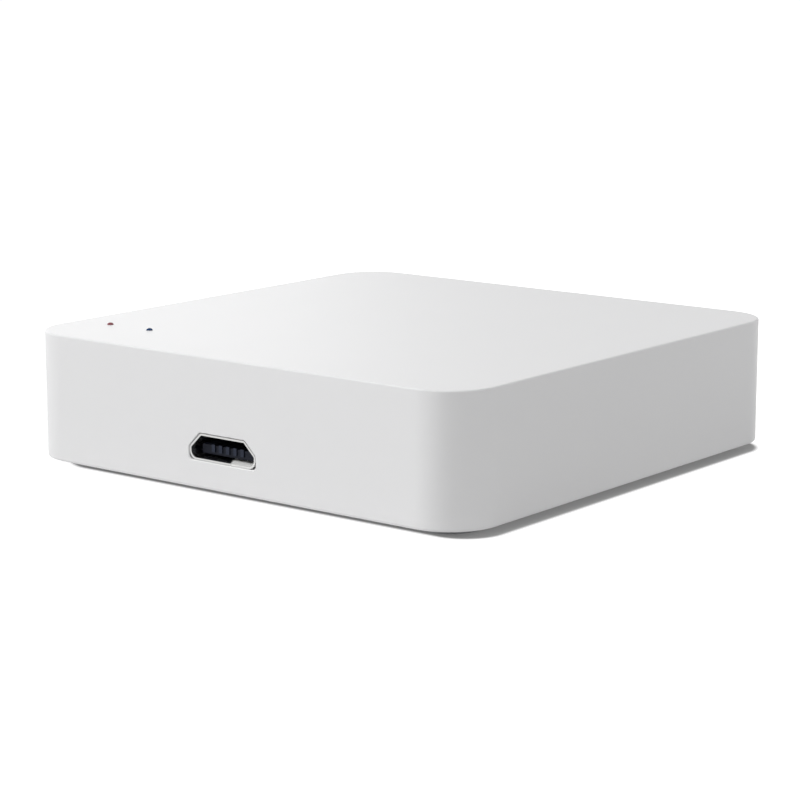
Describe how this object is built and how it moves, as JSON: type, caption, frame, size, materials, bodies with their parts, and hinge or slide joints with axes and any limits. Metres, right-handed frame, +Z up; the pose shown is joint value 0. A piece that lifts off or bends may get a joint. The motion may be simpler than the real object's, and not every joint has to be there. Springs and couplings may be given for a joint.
{
  "type": "smart home gateway",
  "caption": "Low square white hub that links radio sensors to a home network, with a power socket in front, status lights on top and a reset button behind.",
  "frame": {"origin": "middle of the underside, at the level the rubber feet stand on", "axes": "+Z up, through the top; -Y out of the wall with the power socket; +X to the right of that wall"},
  "size_m": [0.06, 0.06, 0.0152],
  "materials": {
    "shell_white": "fine satin grain",
    "base_grey": "fine matte grain",
    "foot_rubber": "matte",
    "board_green": "solder mask over glass laminate",
    "screw_zinc": "zinc plated",
    "socket_steel": "bright nickel plated",
    "socket_black": "black moulded insulator",
    "contact_tin": "tin plated, dulled",
    "switch_black": "black moulded",
    "diode_ivory": "diode housing",
    "pipe_red": "tinted clear light pipe",
    "pipe_blue": "tinted clear light pipe",
    "module_blue": "solder mask over glass laminate",
    "shield_tin": "tinned sheet",
    "foil_gold": "gold flashed copper foil",
    "can_aluminium": "drawn can",
    "package_black": "moulded package",
    "coil_grey": "pressed ferrite",
    "chip_tan": "ceramic",
    "fuse_green": "coated laminate"
  },
  "bodies": {
    "hub": {"top_shell": "shell_white", "base_plate": "base_grey", "foot_front_left": "foot_rubber", "foot_front_right": "foot_rubber", "foot_back_left": "foot_rubber", "foot_back_right": "foot_rubber", "circuit_board": "board_green", "board_screw_left": "screw_zinc", "board_screw_right": "screw_zinc", "socket_shell": "socket_steel", "socket_insulator": "socket_black", "socket_contacts": "contact_tin", "switch_body": "switch_black", "switch_cover": "shield_tin", "red_light_diode": "diode_ivory", "red_light_pipe": "pipe_red", "blue_light_diode": "diode_ivory", "blue_light_pipe": "pipe_blue", "mesh_radio_board": "module_blue", "mesh_radio_shield": "shield_tin", "mesh_radio_antenna": "foil_gold", "lan_radio_board": "module_blue", "lan_radio_shield": "shield_tin", "lan_radio_antenna": "foil_gold", "storage_can_front": "can_aluminium", "storage_can_back": "can_aluminium", "regulator_body": "package_black", "regulator_leads": "shield_tin", "power_coil": "coil_grey", "surge_diode": "package_black", "input_fuse": "fuse_green", "light_resistors": "package_black", "filter_capacitors": "chip_tan"},
    "reset_button": {"reset_button": "shell_white", "switch_plunger": "switch_black"}
  },
  "joints": [
    {"name": "reset_press", "type": "slide", "parent": "hub", "child": "reset_button", "axis": [0, -1, 0], "range_m": [0, 0.00025], "stiffness_N_per_m": 6400}
  ]
}
